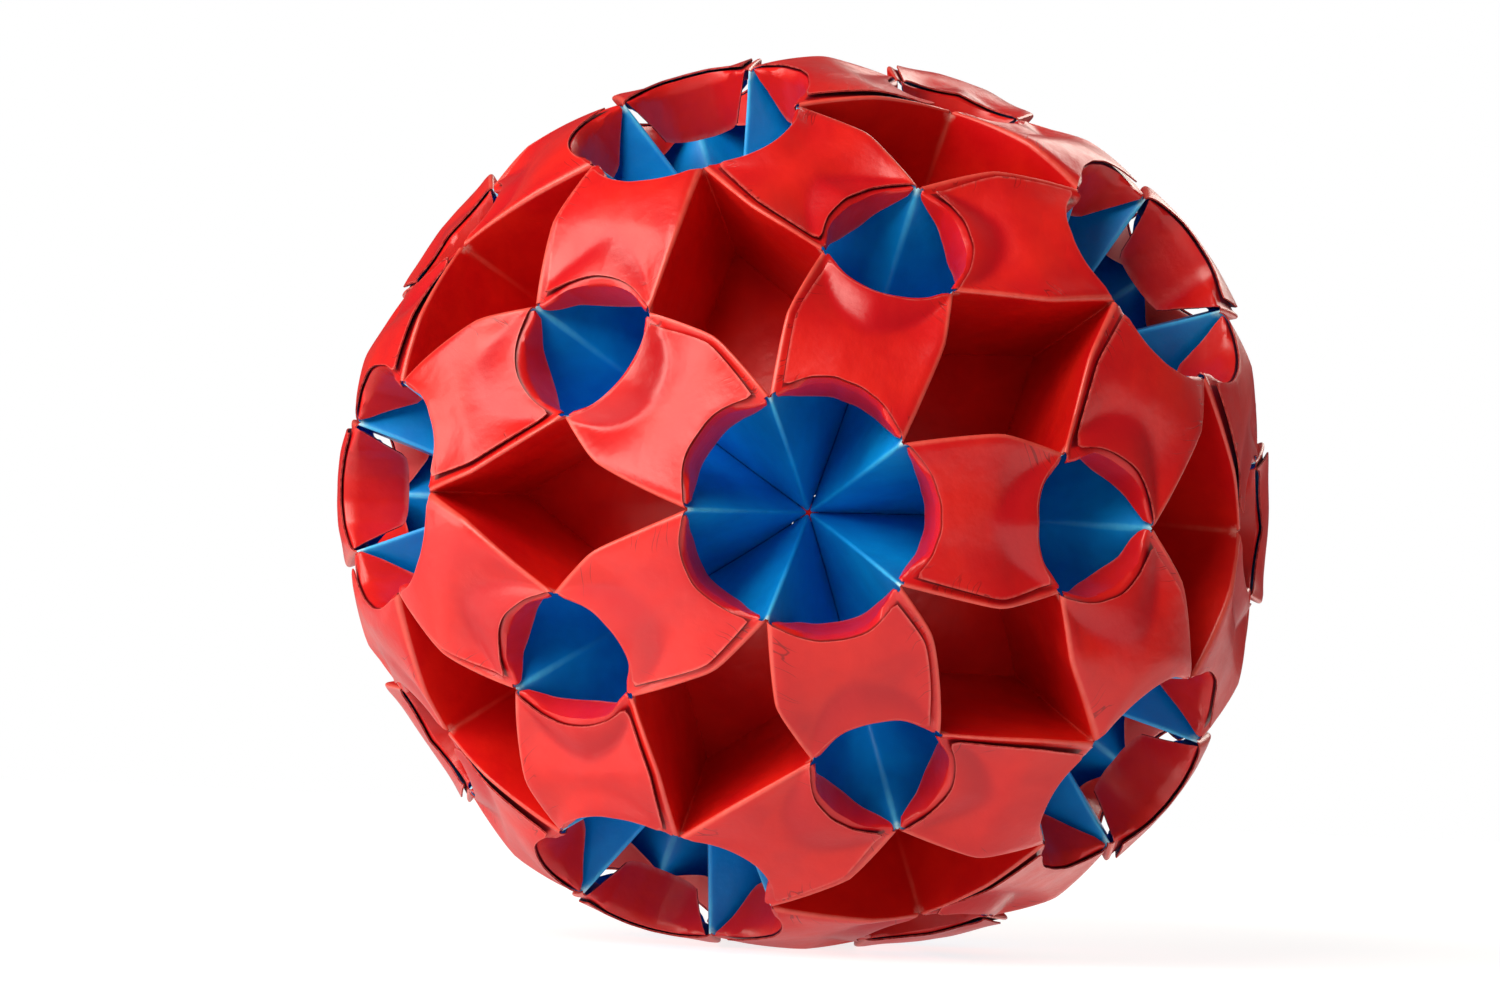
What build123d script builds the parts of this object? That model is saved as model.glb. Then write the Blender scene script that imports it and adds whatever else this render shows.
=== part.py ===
from build123d import *
import os
from itertools import combinations
from math import asin, atan2, cos, degrees, radians, sin, sqrt, tan

os.makedirs("parts", exist_ok=True)

# Kusudama paper ball: thirty square sheets, each folded into a deep four-sided cup whose four flaps
# fold out over the gaps to the neighbouring cups. Each gap is bridged by two flaps, a cover from one
# cup over a tab from the other, and the tab turns down at both ends into a lip.
# Millimetres, +Z up, origin on the table under the ball's middle, one five-sided opening towards -Y.

# Driving dimensions
ball_radius = 58.4            # middle of the ball to the outside of the covers
foot_height = 54.7            # middle of the ball to the table, where its own weight presses it flat
core_radius = 37.6            # middle of the ball to the bottom of a five-sided opening
five_opening_radius = 14.1    # middle of a five-sided opening to its corners
three_opening_radius = 9.5    # middle of a three-sided opening to its corners
five_rim_bow = 4.6            # how far a flap's edge curves back from a five-sided opening
three_rim_bow = 3.9           # the same at a three-sided opening
side_bow = 1.5                # how far the long sides of a flap curve out over the cup's mouth
crease_width = 0.7            # width of the blunt ridge that a fold leaves at a cup's corner
paper = 0.2                   # thickness of the folded paper
sheet_gap = 0.1               # clearance between two sheets that lie on each other
slit_inset = 1.3              # a cover's free edge to the far side of the flap under it
tab_inset = 1.2               # a tab's hidden edge to the wall of the cup that covers it
rim_reveal = 0.4              # how far a tab's edge shows past the cover's edge
five_lip_depth = 8.0          # how far a lip hangs down into a five-sided opening
three_lip_depth = 5.0         # the same in a three-sided opening
lip_shoulder = 0.9            # space between a lip and the cup walls beside it
lip_round = 2.0               # radius of a lip's lower corners
trim_margin = 0.4             # how far a shape runs past the ball's form before it is trimmed to it

# Angles between the axes of an icosahedron
golden = (1 + sqrt(5)) / 2
five_to_two = degrees(atan2(1, golden))
three_to_two = degrees(atan2(1, golden**2))
five_to_five = 2 * five_to_two
five_step = 360 / 5
first_five = 3 / 4 * five_step
same_angle = 1

# One cup stands upright at the middle of the ball, with five-sided openings towards +X and -X and
# three-sided ones towards +Y and -Y. These are the corners of its floor and of its mouth.
floor_height = core_radius * cos(radians(five_to_two))
floor_half_length = core_radius * sin(radians(five_to_two))
floor_half_width = floor_height * tan(radians(three_to_two))
three_core_radius = floor_height / cos(radians(three_to_two))
five_corner_angle = five_to_two - degrees(asin(five_opening_radius / ball_radius))
three_corner_angle = three_to_two - degrees(asin(three_opening_radius / ball_radius))
trim_height = ball_radius + trim_margin


def run_on(floor_half, corner_angle):
    """Give a ridge's distance across at the trim height, run on through its mouth corner."""
    across = ball_radius * sin(radians(corner_angle))
    height = ball_radius * cos(radians(corner_angle))
    slope = (across - floor_half) / (height - floor_height)
    return floor_half + slope * (trim_height - floor_height)


mouth_half_length = run_on(floor_half_length, five_corner_angle)
mouth_half_width = run_on(floor_half_width, three_corner_angle)


def cup_outline(plane, half_length, half_width, bow, inset):
    """Draw a cup's outline: four sides, bowed inwards, between four blunt corners."""
    blunt = crease_width / 2
    long = half_length - half_length * blunt / half_width
    wide = half_width - half_width * blunt / half_length
    corners = [(long, blunt), (blunt, wide), (-blunt, wide), (-long, blunt),
               (-long, -blunt), (-blunt, -wide), (blunt, -wide), (long, -blunt)]
    with BuildSketch(plane) as outline:
        with BuildLine():
            for index, start in enumerate(corners):
                end = corners[(index + 1) % len(corners)]
                if index % 2 == 0 and bow > 0:
                    SagittaArc(start, end, bow)
                else:
                    Line(start, end)
        make_face()
        offset(amount=-inset, kind=Kind.INTERSECTION)
    return outline.sketch


def cup_block(inset):
    """Make the solid block of a cup, from its floor to the trim height, inset on every side."""
    floor_plane = Plane.XY.offset(floor_height + inset)
    mouth_plane = Plane.XY.offset(trim_height)
    floor = cup_outline(floor_plane, floor_half_length, floor_half_width, 0, inset)
    mouth = cup_outline(mouth_plane, mouth_half_length, mouth_half_width, side_bow, inset)
    with BuildPart() as block:
        add(floor)
        add(mouth)
        loft(ruled=True)
    return block.part


def ball_form(inset, foot):
    """Make the whole ball's outer form, smaller by an inset and pressed flat at the foot."""
    with BuildPart() as form:
        Sphere(ball_radius - inset)
        if foot is not None:
            split(bisect_by=foot.offset(inset), keep=Keep.TOP)
    return form.part


def opening_plane(axis, other):
    """Place a plane square to one axis, with its X towards the other axis."""
    towards = (other - axis * axis.dot(other)).normalized()
    return Plane(origin=(0, 0, 0), x_dir=towards, z_dir=axis)


def five_corner(across):
    """Give the mouth corner beside a five-sided opening."""
    angle = radians(five_corner_angle)
    return Vector(across * sin(angle), 0, cos(angle)) * ball_radius


def three_corner(up):
    """Give the mouth corner beside a three-sided opening."""
    angle = radians(three_corner_angle)
    return Vector(0, up * sin(angle), cos(angle)) * ball_radius


def rim_arc(opening_radius, sides, bow):
    """Give the middle and the radius of the arc that bows back between two opening corners."""
    chord = opening_radius * cos(radians(180 / sides))
    half = opening_radius * sin(radians(180 / sides))
    radius = (half**2 + bow**2) / (2 * bow)
    return chord + bow - radius, radius


def lip(plane, opening_radius, sides, bow, depth, bottom, form):
    """Hang one tapered lip from a tab's edge, bent round the same arc as the edge."""
    middle, radius = rim_arc(opening_radius, sides, bow)
    half = opening_radius * sin(radians(180 / sides))
    top = sqrt(ball_radius**2 - opening_radius**2)
    low = top - depth
    shoulder_half = half - lip_shoulder
    tip_half = half * (1 - depth / (top - bottom)) - lip_shoulder / 2
    side_plane = Plane(origin=(0, 0, 0), x_dir=plane.y_dir, z_dir=plane.x_dir)
    with BuildPart() as tongue:
        with BuildSketch(plane.offset(low)):
            with Locations((middle, 0)):
                Circle(radius + paper)
                Circle(radius, mode=Mode.SUBTRACT)
        extrude(amount=ball_radius - low)
        with BuildSketch(side_plane) as shape:
            with BuildLine():
                Polyline((-tip_half, low), (tip_half, low), (shoulder_half, top),
                         (shoulder_half, ball_radius), (-shoulder_half, ball_radius),
                         (-shoulder_half, top), close=True)
            make_face()
            fillet(shape.vertices().group_by(Axis.Y)[0], lip_round)
        extrude(amount=ball_radius, mode=Mode.INTERSECT)
        add(form, mode=Mode.INTERSECT)
    return tongue.part


def flap(is_cover, across, up, hollow, foot):
    """Fold one flap out over the gap beside the upright cup, towards two of its openings."""
    five = Vector(across * sin(radians(five_to_two)), 0, cos(radians(five_to_two)))
    three = Vector(0, up * sin(radians(three_to_two)), cos(radians(three_to_two)))
    five_plane = opening_plane(five, three)
    three_plane = opening_plane(three, five)
    away = five.cross(three).normalized() * (-across * up)
    flap_plane = Plane(origin=(0, 0, 0), x_dir=away, z_dir=five.normalized() + three.normalized())
    near_five = flap_plane.to_local_coords(five_corner(across))
    near_three = flap_plane.to_local_coords(three_corner(up))
    inset = 0 if is_cover else paper + sheet_gap
    far_inset = slit_inset if is_cover else tab_inset
    reveal = 0 if is_cover else rim_reveal
    middle = (near_five.Y + near_three.Y) / 2
    near_bow = (near_five.X + near_three.X) / 2 - side_bow - trim_margin
    far_bow = side_bow - near_five.X - far_inset
    form = ball_form(inset, foot)
    under_form = ball_form(inset + paper, foot)
    rims = [(five_plane, five_opening_radius, 5, five_rim_bow - reveal,
             five_lip_depth, core_radius),
            (three_plane, three_opening_radius, 3, three_rim_bow - reveal,
             three_lip_depth, three_core_radius)]
    lips = []
    if not is_cover:
        lips = [lip(plane, radius, sides, bow, depth, bottom, form)
                for plane, radius, sides, bow, depth, bottom in rims]
    with BuildPart() as sheet:
        with BuildSketch(flap_plane):
            with BuildLine():
                Line((near_three.X, near_three.Y), (-near_three.X - far_inset, near_three.Y))
                ThreePointArc((-near_three.X - far_inset, near_three.Y), (far_bow, middle),
                              (-near_five.X - far_inset, near_five.Y))
                Line((-near_five.X - far_inset, near_five.Y), (near_five.X, near_five.Y))
                ThreePointArc((near_five.X, near_five.Y), (near_bow, middle),
                              (near_three.X, near_three.Y))
            make_face()
        extrude(amount=trim_height)
        add(form, mode=Mode.INTERSECT)
        add(under_form, mode=Mode.SUBTRACT)
        for plane, radius, sides, bow, depth, bottom in rims:
            arc_middle, arc_radius = rim_arc(radius, sides, bow)
            with BuildSketch(plane):
                with Locations((arc_middle, 0)):
                    Circle(arc_radius)
            extrude(amount=trim_height, mode=Mode.SUBTRACT)
        for tongue in lips:
            add(tongue)
        add(hollow, mode=Mode.SUBTRACT)
    return sheet.part


def folded_unit(covers, foot):
    """Fold one sheet: the upright cup, with a cover on the sides named and a tab on the others."""
    hollow = cup_block(sheet_gap / 2 + paper)
    tab_form = ball_form(paper + sheet_gap, foot)
    sides = [(1, 1), (-1, 1), (-1, -1), (1, -1)]
    with BuildPart() as recess:
        with BuildSketch(Plane.XY.offset(floor_height)):
            for across, up in sides:
                if (across, up) not in covers:
                    with Locations((across * ball_radius / 2, up * ball_radius / 2)):
                        Rectangle(ball_radius, ball_radius)
        extrude(amount=trim_height)
        add(tab_form, mode=Mode.SUBTRACT)
    block = cup_block(sheet_gap / 2)
    whole_form = ball_form(0, foot)
    flaps = [flap((across, up) in covers, across, up, hollow, foot) for across, up in sides]
    with BuildPart() as unit:
        add(block)
        add(hollow, mode=Mode.SUBTRACT)
        add(whole_form, mode=Mode.INTERSECT)
        add(recess.part, mode=Mode.SUBTRACT)
        for folded in flaps:
            add(folded)
    return unit.part


def five_fold_axes():
    """List the directions of the twelve five-sided openings, the first towards -Y."""
    axes = [Vector(0, -1, 0)]
    for step in range(5):
        turn = radians(first_five + five_step * step)
        reach = sin(radians(five_to_five))
        axes.append(Vector(reach * sin(turn), -cos(radians(five_to_five)), reach * cos(turn)))
    return axes + [-axis for axis in axes]


def cup_planes():
    """List a plane for each cup, from the foot up: Z out of its mouth, X to a five-sided opening."""
    planes = []
    for first, second in combinations(five_fold_axes(), 2):
        if abs(first.get_angle(second) - five_to_five) < same_angle:
            planes.append(Plane(origin=(0, 0, foot_height), x_dir=second - first, z_dir=first + second))
    return sorted(planes, key=lambda plane: (round(plane.z_dir.Z, 3), round(plane.z_dir.X, 3)))


def foot_plane(plane):
    """Give the table's plane as an upright cup sees it from its own place in the ball."""
    ground = plane.to_local_coords(Vector(0, 0, 0))
    return Plane(origin=ground, z_dir=plane.to_local_coords(Vector(0, 0, 1)) - ground)


cover_sides = [(1, 1), (-1, -1)]
free_unit = folded_unit(cover_sides, None)

for number, plane in enumerate(cup_planes(), start=1):
    placed = free_unit.moved(plane.location)
    if placed.bounding_box().min.Z < 0:
        placed = folded_unit(cover_sides, foot_plane(plane)).moved(plane.location)
    with BuildPart() as unit:
        add(placed)
    unit.part.label = f"unit_{number:02d}"
    export_step(unit.part, f"parts/unit_{number:02d}.step")
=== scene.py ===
"""Dresses the kusudama paper ball: its thirty folded sheets, the table, the light and the camera."""

import logging
import math
from dataclasses import dataclass
from enum import Enum
from itertools import combinations

import bpy
import numpy as np
from mathutils import Matrix, Vector


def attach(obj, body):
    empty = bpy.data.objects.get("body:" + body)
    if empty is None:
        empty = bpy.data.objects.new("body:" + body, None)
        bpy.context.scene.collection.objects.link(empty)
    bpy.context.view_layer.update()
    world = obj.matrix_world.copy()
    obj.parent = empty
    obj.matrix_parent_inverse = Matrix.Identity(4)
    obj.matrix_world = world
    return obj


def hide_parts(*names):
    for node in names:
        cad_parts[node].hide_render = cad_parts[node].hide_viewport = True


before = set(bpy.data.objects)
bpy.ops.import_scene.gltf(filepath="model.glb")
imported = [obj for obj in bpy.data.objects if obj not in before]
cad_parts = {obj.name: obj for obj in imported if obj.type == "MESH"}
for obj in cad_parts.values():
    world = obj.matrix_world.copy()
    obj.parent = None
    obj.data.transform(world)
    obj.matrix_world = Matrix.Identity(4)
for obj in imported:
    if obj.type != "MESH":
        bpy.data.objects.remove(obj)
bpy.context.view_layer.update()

log = logging.getLogger("paper_ball")

MM = 0.001
PIECE_NAME = "folded_sheet_{:02d}"
NODE_NAME = "unit_{:02d}"
GOLDEN = (1 + math.sqrt(5)) / 2
WHITE = (1, 1, 1, 1)

# A side of a cup, or its panel: 1 or -1 for its five-sided opening and 1 or -1 for its three-sided one.
Quadrant = tuple[int, int]
QUADRANTS: tuple[Quadrant, ...] = ((1, 1), (-1, 1), (-1, -1), (1, -1))
Pair = tuple[float, float]
Colour = tuple[float, float, float, float]


def unit(vector: np.ndarray) -> np.ndarray:
    """Scale vectors, along the last axis of an array, to length one."""
    return vector / np.linalg.norm(vector, axis=-1, keepdims=True)


def ramp(value: np.ndarray, start: float, end: float) -> np.ndarray:
    """Rise smoothly from 0 at start to 1 at end."""
    share = np.clip((value - start) / (end - start), 0.0, 1.0)
    return share * share * (3.0 - 2.0 * share)


def hill(value: np.ndarray, foot: float, top: float, edge: float, far_foot: float) -> np.ndarray:
    """Rise from 0 at foot to 1 at top, and fall from 1 at edge to 0 at far_foot."""
    return ramp(value, foot, top) * (1 - ramp(value, edge, far_foot))


def soft_rise(value: np.ndarray, softness: float) -> np.ndarray:
    """Follow a value above zero and stay near zero below it, with a rounded bend."""
    return 0.5 * (value + np.sqrt(value * value + softness * softness))


def inner_shares(count: int) -> np.ndarray:
    """Share out rows evenly between two ends, without the ends."""
    return np.linspace(0, 1, count + 2)[1:-1]


def rounded(start: np.ndarray, corner: np.ndarray, end: np.ndarray, count: int, axis: int) -> np.ndarray:
    """Round a corner between two rows of points.

    Args:
        start: the row where the rounding begins.
        corner: the sharp corner between the rows.
        end: the row where the rounding ends.
        count: how many rows the rounding has.
        axis: the array's axis that counts the new rows.

    Returns:
        The new rows as one array.
    """
    rows = [(1 - share) ** 2 * start + 2 * share * (1 - share) * corner + share**2 * end
            for share in inner_shares(count)]
    return np.stack(rows, axis=axis)


@dataclass(frozen=True)
class Opening:
    """One kind of opening between the sheets, in millimetres where nothing else is said."""

    end: int                 # its place in every pair of values: 0 or 1
    sides: int               # the cups round it
    tilt: float              # radians from a cup's direction to the opening's
    corner_reach: float      # from the ball's middle to the cups' corners
    radius: float            # from the opening's axis to the cups' corners
    rim_bow: float           # how far its rims stand back in their middle
    core: float              # from the ball's middle to its bottom
    hole: float              # radius of the small hole there
    sink: float              # how deep a panel's hollow middle is on this side
    collar: float            # width of the raised collar at the rim
    lip: float               # how far a lip turns down into it
    lip_square: float        # how square a lip's end is
    lip_round: float         # how round its corners are, less is rounder
    ripple: float            # how wavy a rim is
    ripple_turns: tuple[float, float, float]

    @property
    def corner_tilt(self) -> float:
        """Give the angle from a cup's direction to its corner beside the opening, in radians."""
        return self.tilt - math.asin(self.radius / self.corner_reach)

    def rim_arc(self, over: np.ndarray) -> np.ndarray:
        """Tell how far a round rim stands back from the straight line between its corners.

        Args:
            over: shares of the way from corner to corner.

        Returns:
            The distances in millimetres.
        """
        half = self.radius * math.sin(math.pi / self.sides)
        arc_radius = (half**2 + self.rim_bow**2) / (2 * self.rim_bow)
        across = (2 * np.clip(over, 0, 1) - 1) * half
        return np.sqrt(arc_radius**2 - across**2) - (arc_radius - self.rim_bow)


FIVE_CORE = 37.6
FIVE_TILT = math.atan2(1, GOLDEN)
THREE_TILT = math.atan2(1, GOLDEN**2)
FIVE = Opening(end=0, sides=5, tilt=FIVE_TILT, corner_reach=58.2, radius=14.1, rim_bow=4.6,
               core=FIVE_CORE, hole=0.24, sink=1.5, collar=3.0, lip=8.6, lip_square=2.6, lip_round=0.5,
               ripple=0.16, ripple_turns=(2, 5.2, 11))
THREE = Opening(end=1, sides=3, tilt=THREE_TILT, corner_reach=56.4, radius=9.3, rim_bow=4.2,
                core=FIVE_CORE * math.cos(FIVE_TILT) / math.cos(THREE_TILT), hole=0.16, sink=2.7,
                collar=4.9, lip=5.4, lip_square=1.8, lip_round=1.0, ripple=0.14, ripple_turns=(2, 4.6, 9))
OPENINGS = (FIVE, THREE)


@dataclass(frozen=True)
class BallSizes:
    """The whole ball, in millimetres where nothing else is said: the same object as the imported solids."""

    foot_height: float = 54.7      # from the table to the ball's middle
    paper: float = 0.2
    squash: float = 0.982          # height as a share of width
    taper: float = 0.035           # how much taller the ball is on one side, as a share
    press_from: float = 47.0       # how far below the middle the pressed foot begins
    press_room: float = 0.75       # papers between the foot's lowest points and the table
    drift: float = 0.36            # how far each slow wave moves a point
    drift_wave: float = 0.052      # radians a millimetre of the slowest wave
    drift_step: float = 0.021      # how much quicker each next wave is
    seed: int = 7


@dataclass(frozen=True)
class FoldSizes:
    """How sharply the paper bends and how its flaps lie, in millimetres or as shares."""

    ridge_cut_low: float = 0.45    # how far a ridge's rounding reaches, at the floor
    ridge_cut: float = 0.6         # the same at mid height
    ridge_cut_top: float = 0.26    # the same at the mouth
    ridge_band: float = 1.25       # how wide the rubbed band beside a ridge is, lightened also as painted highlight
    fold_cut: float = 0.6          # how far a mouth fold's rounding reaches
    fold_band: float = 0.85        # how wide the rubbed band beside it is, lightened also as painted highlight
    wall_curve: float = 1.35       # how late a wall takes up its fold's curve
    side_bow: float = 1.35         # how far a fold bends in over its cup
    side_arch: float = 1.95        # how far it arches up
    arch_kink: float = 0.55        # share of the arch that is a sharp kink
    arch_round: float = 0.85       # how round the rest of it is
    notch: float = 0.05            # depth and width of the dent at the kink, as a share
    flat_hollow: float = 2.4       # how flat a hollow's bottom is beside a five-sided opening
    soft_hollow: float = 1.9       # the same beside a three-sided one
    peak_hollow: float = 0.9       # how much sharper some of those are
    collar_foot: float = 0.12      # share of a collar's width that is left at its corners
    collar_softness: float = 0.2
    part_from: float = 0.3         # where up a collar the two flaps begin to part
    rim_part: float = 0.07         # how far they part at the rim
    layer_gap: float = 0.16        # between two flaps that lie on each other
    layer_full: float = 0.07       # share of the way over at which a flap has left its fold's level
    slit_inset: float = 1.2        # from a cover's edge to its neighbour's fold
    tab_inset: float = 0.5         # from a tab's edge to its neighbour's fold
    slit_line: float = 0.16        # width of the painted shadow line beside a cover's edge
    slit_soft: float = 0.02        # how far under the cover it is soft
    slit_past: float = 0.3         # how far under the cover close rows go on
    slit_ends: Pair = (-0.3, 0.05)    # where the painted shadow line begins at a rim
    widen_by: float = 0.09         # share of the way over at which a flap is at its full width
    trim: float = 0.05             # how much a cover's corners are trimmed, as a share
    rim_reveal: float = 0.22       # how far a tab shows past its cover at a rim
    corner_reveal: float = 0.9     # how far it shows at a rim's corners
    far_reveal: float = 0.4        # share of that at the neighbour's corners
    lip_turn: float = 0.7          # length of paper in which a lip turns down
    lip_lean: float = 0.17         # how far a lip leans back under its panel
    lip_side: float = 2.5          # slope of a lip's two side edges
    lip_least: float = 0.1
    floor_swell: float = 0.5
    tip_drop: float = 0.55         # how deep a red tip's point lies under the hole
    tip_past: float = 0.12         # how far it reaches past the opening's axis
    tip_sag: float = 0.1
    tip_tuck: Pair = (0.4, 0.3)    # papers from its root to the cup's wall and up to its floor
    tip_blunt: float = 0.06        # how wide its point is, as a share of its root


class Lay(Enum):
    """How a flap lies over the gap to its neighbour."""

    COVER = "cover"
    TAB = "tab"


@dataclass(frozen=True)
class MeshCounts:
    """How many rows of points each stretch of a sheet has."""

    side: int = 30
    ridge: int = 4
    wall: int = 15
    fold: int = 4
    flap: int = 22
    lip: int = 9
    tip_side: int = 3
    crowding: float = 0.05

    @property
    def per_side(self) -> int:
        """Count the columns of one side of the cup and of the ridge that follows it."""
        return self.side + 1 + self.ridge

    def spread(self) -> np.ndarray:
        """Share out a side's columns, a little closer together near its two ends."""
        even = np.linspace(0, 1, self.side + 1)
        return even - self.crowding * np.sin(2 * math.pi * even)


@dataclass
class Seat:
    """Where one cup sits in the ball: its number, its direction and the ways to its two kinds of opening."""

    number: int
    out: np.ndarray
    ways: tuple[np.ndarray, np.ndarray]

    def tilted(self, opening: Opening, sign: int, tilt: float) -> np.ndarray:
        """Tilt the cup's direction towards one of its openings."""
        return math.sin(tilt) * sign * self.ways[opening.end] + math.cos(tilt) * self.out

    def axis(self, opening: Opening, quadrant: Quadrant) -> np.ndarray:
        """Give the direction of the opening at one side of the cup."""
        return self.tilted(opening, quadrant[opening.end], opening.tilt)

    def corner(self, opening: Opening, quadrant: Quadrant) -> np.ndarray:
        """Give the corner of the cup's mouth beside an opening."""
        return opening.corner_reach * self.tilted(opening, quadrant[opening.end], opening.corner_tilt)

    def inwards(self, axis: np.ndarray) -> np.ndarray:
        """Give the way from an opening's axis towards the cup."""
        return unit(self.out - (self.out @ axis) * axis)

    def floor(self, opening: Opening, quadrant: Quadrant) -> np.ndarray:
        """Give the corner of the cup's floor beside the small hole at the bottom of an opening."""
        axis = self.axis(opening, quadrant)
        return opening.core * axis + opening.hole * self.inwards(axis)


class Plan:
    """The ball's layout: the axes of an icosahedron and the thirty seats between them."""

    first_turn = 54       # degrees from the top to the first opening round the front one
    same_angle = 0.01     # radians

    def __init__(self) -> None:
        """Find the seats, from the foot up."""
        found = []
        for first, second in combinations(self._five_axes(), 2):
            between = math.acos(np.clip(first @ second, -1, 1))
            if abs(between - 2 * FIVE.tilt) < self.same_angle:
                found.append((unit(first + second), unit(second - first)))
        found.sort(key=lambda pair: (round(pair[0][2], 3), round(pair[0][0], 3)))
        self.seats = [Seat(number, out, (five, np.cross(out, five)))
                      for number, (out, five) in enumerate(found, start=1)]

    def _five_axes(self) -> list[np.ndarray]:
        """List the directions of the twelve five-sided openings.

        Returns:
            Unit vectors, the first towards the front.
        """
        apart = 2 * FIVE.tilt
        axes = [np.array([0.0, -1.0, 0.0])]
        for step in range(FIVE.sides):
            turn = math.radians(self.first_turn + 360 / FIVE.sides * step)
            axes.append(np.array([math.sin(apart) * math.sin(turn), -math.cos(apart),
                                  math.sin(apart) * math.cos(turn)]))
        return axes + [-axis for axis in axes]

    def partner(self, seat: Seat, quadrant: Quadrant) -> tuple[Seat, Quadrant]:
        """Find the cup on the far side of one of a cup's four panels.

        Args:
            seat: the cup.
            quadrant: the panel, as this cup names it.

        Returns:
            The neighbour, and the panel as the neighbour names it.
        """
        axes = [seat.axis(opening, quadrant) for opening in OPENINGS]
        mirror = unit(np.cross(*axes))
        out = seat.out - 2 * (seat.out @ mirror) * mirror
        other = max(self.seats, key=lambda each: each.out @ out)
        far = tuple(int(np.sign(axis @ way)) for axis, way in zip(axes, other.ways))
        return other, far


@dataclass
class SideTouch:
    """How one mouth side of one cup came out of the maker's hands."""

    bow: float
    kink_at: float
    kink_share: float
    arch: float


@dataclass
class PanelTouch:
    """How one panel came out, with each pair for its five-sided and its three-sided opening."""

    sink: Pair
    rise: Pair
    collar: Pair
    hollow: Pair
    lip: Pair
    lift: float
    reveals: np.ndarray
    waves: np.ndarray

    def hump(self, opening: Opening, over: np.ndarray) -> np.ndarray:
        """Rise from 0 at a panel's two folds to 1 in its middle."""
        return 1 - np.abs(2 * np.clip(over, 0, 1) - 1) ** self.hollow[opening.end]


class Hand:
    """The maker's hand: small seeded differences between the sheets, and the ball's slight wonkiness."""

    front = -0.99         # the direction of the front opening goes at least this far along Y
    drift_waves = 4       # slow waves along each axis

    def __init__(self, plan: Plan, ball: BallSizes, folds: FoldSizes) -> None:
        """Draw every side's and every panel's differences, always in the same order.

        Args:
            plan: the ball's layout.
            ball: the whole ball's sizes.
            folds: how its paper bends.
        """
        self.ball = ball
        self.folds = folds
        self.draw = np.random.default_rng(ball.seed)
        places = [(seat, quadrant) for seat in plan.seats for quadrant in QUADRANTS]
        self.sides = {(seat.number, quadrant): self._side() for seat, quadrant in places}
        self.panels: dict[tuple[int, Quadrant], PanelTouch] = {}
        for seat, quadrant in places:
            if (seat.number, quadrant) in self.panels:
                continue
            touch = self._panel(seat.axis(FIVE, quadrant)[1] < self.front)
            other, far = plan.partner(seat, quadrant)
            self.panels[seat.number, quadrant] = touch
            self.panels[other.number, far] = touch
        self.drift_turns = self.draw.uniform(0, 2 * math.pi, (3, self.drift_waves))
        self.drift_ways = unit(self.draw.normal(size=(3, self.drift_waves, 3)))
        self.lowest = ball.foot_height

    def _side(self) -> SideTouch:
        """Draw how one mouth side came out."""
        draw = self.draw.uniform
        return SideTouch(bow=self.folds.side_bow * draw(0.65, 1.6), kink_at=draw(0.3, 0.68),
                         kink_share=draw(0.7, 1.0), arch=self.folds.side_arch * draw(0.8, 1.15))

    def _panel(self, faces_front: bool) -> PanelTouch:
        """Draw how one panel came out.

        Args:
            faces_front: whether it is one of the five round the front opening, which lie flat beside it.

        Returns:
            The panel's differences.
        """
        draw = self.draw.uniform
        sink = (FIVE.sink * draw(0.5 if faces_front else -0.9, 1.0), THREE.sink * draw(0.75, 1.25))
        five_rise = draw(0.0, 0.9) * (0.0 if faces_front else 1.0)
        collar = (FIVE.collar * draw(0.8, 1.3), THREE.collar * draw(0.8, 1.15))
        three_rise = draw(0.85, 1.25)
        three_hollow = self.folds.soft_hollow - self.folds.peak_hollow * draw(0.0, 1.0)
        lift = draw(0.02, 0.2)
        lip = (FIVE.lip * draw(0.92, 1.06), THREE.lip * draw(0.85, 1.1))
        reveals = self.folds.corner_reveal * draw(0.2, 1.3, 4)
        # Eight waves are drawn, and six are used: three for each rim.
        waves = draw(-1.0, 1.0, 8)[:6]
        return PanelTouch(sink=sink, rise=(five_rise, three_rise), collar=collar,
                          hollow=(self.folds.flat_hollow, three_hollow), lip=lip, lift=lift,
                          reveals=reveals.reshape(2, 2), waves=waves.reshape(2, 3))

    def drift(self, points: np.ndarray) -> np.ndarray:
        """Shift points by a slow, smooth field, so that neighbours move together.

        Args:
            points: millimetres from the ball's middle.

        Returns:
            The shifted points.
        """
        moved = points.copy()
        for axis in range(3):
            for wave in range(self.drift_waves):
                speed = self.ball.drift_wave + self.ball.drift_step * wave
                phase = points @ self.drift_ways[axis, wave] * speed
                moved[:, axis] += self.ball.drift * np.sin(phase + self.drift_turns[axis, wave])
        return moved

    def lean(self, points: np.ndarray) -> np.ndarray:
        """Squash the ball a little, and make it taller on one side.

        Args:
            points: millimetres from the ball's middle.

        Returns:
            The moved points.
        """
        moved = self.drift(points)
        moved[:, 2] *= self.ball.squash * (1 + self.ball.taper * moved[:, 0] / FIVE.corner_reach)
        return moved

    def rest(self, meshes: list["SheetMesh"]) -> None:
        """Find the ball's lowest point before its foot is pressed flat."""
        self.lowest = -min(float(self.lean(mesh.points())[:, 2].min()) for mesh in meshes)

    def settle(self, points: np.ndarray) -> np.ndarray:
        """Set the ball down as the real one is: a little low, taller on one side, flat at the foot.

        Args:
            points: millimetres from the ball's middle.

        Returns:
            The points in millimetres above the table.
        """
        ball = self.ball
        moved = self.lean(points)
        free = self.lowest - ball.press_from
        below = np.clip(-ball.press_from - moved[:, 2], 0.0, free)
        room = ball.foot_height - ball.press_from - ball.press_room * ball.paper
        moved[:, 2] += (free - room) / free**2 * below**2
        moved[:, 2] += ball.foot_height
        return moved


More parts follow.
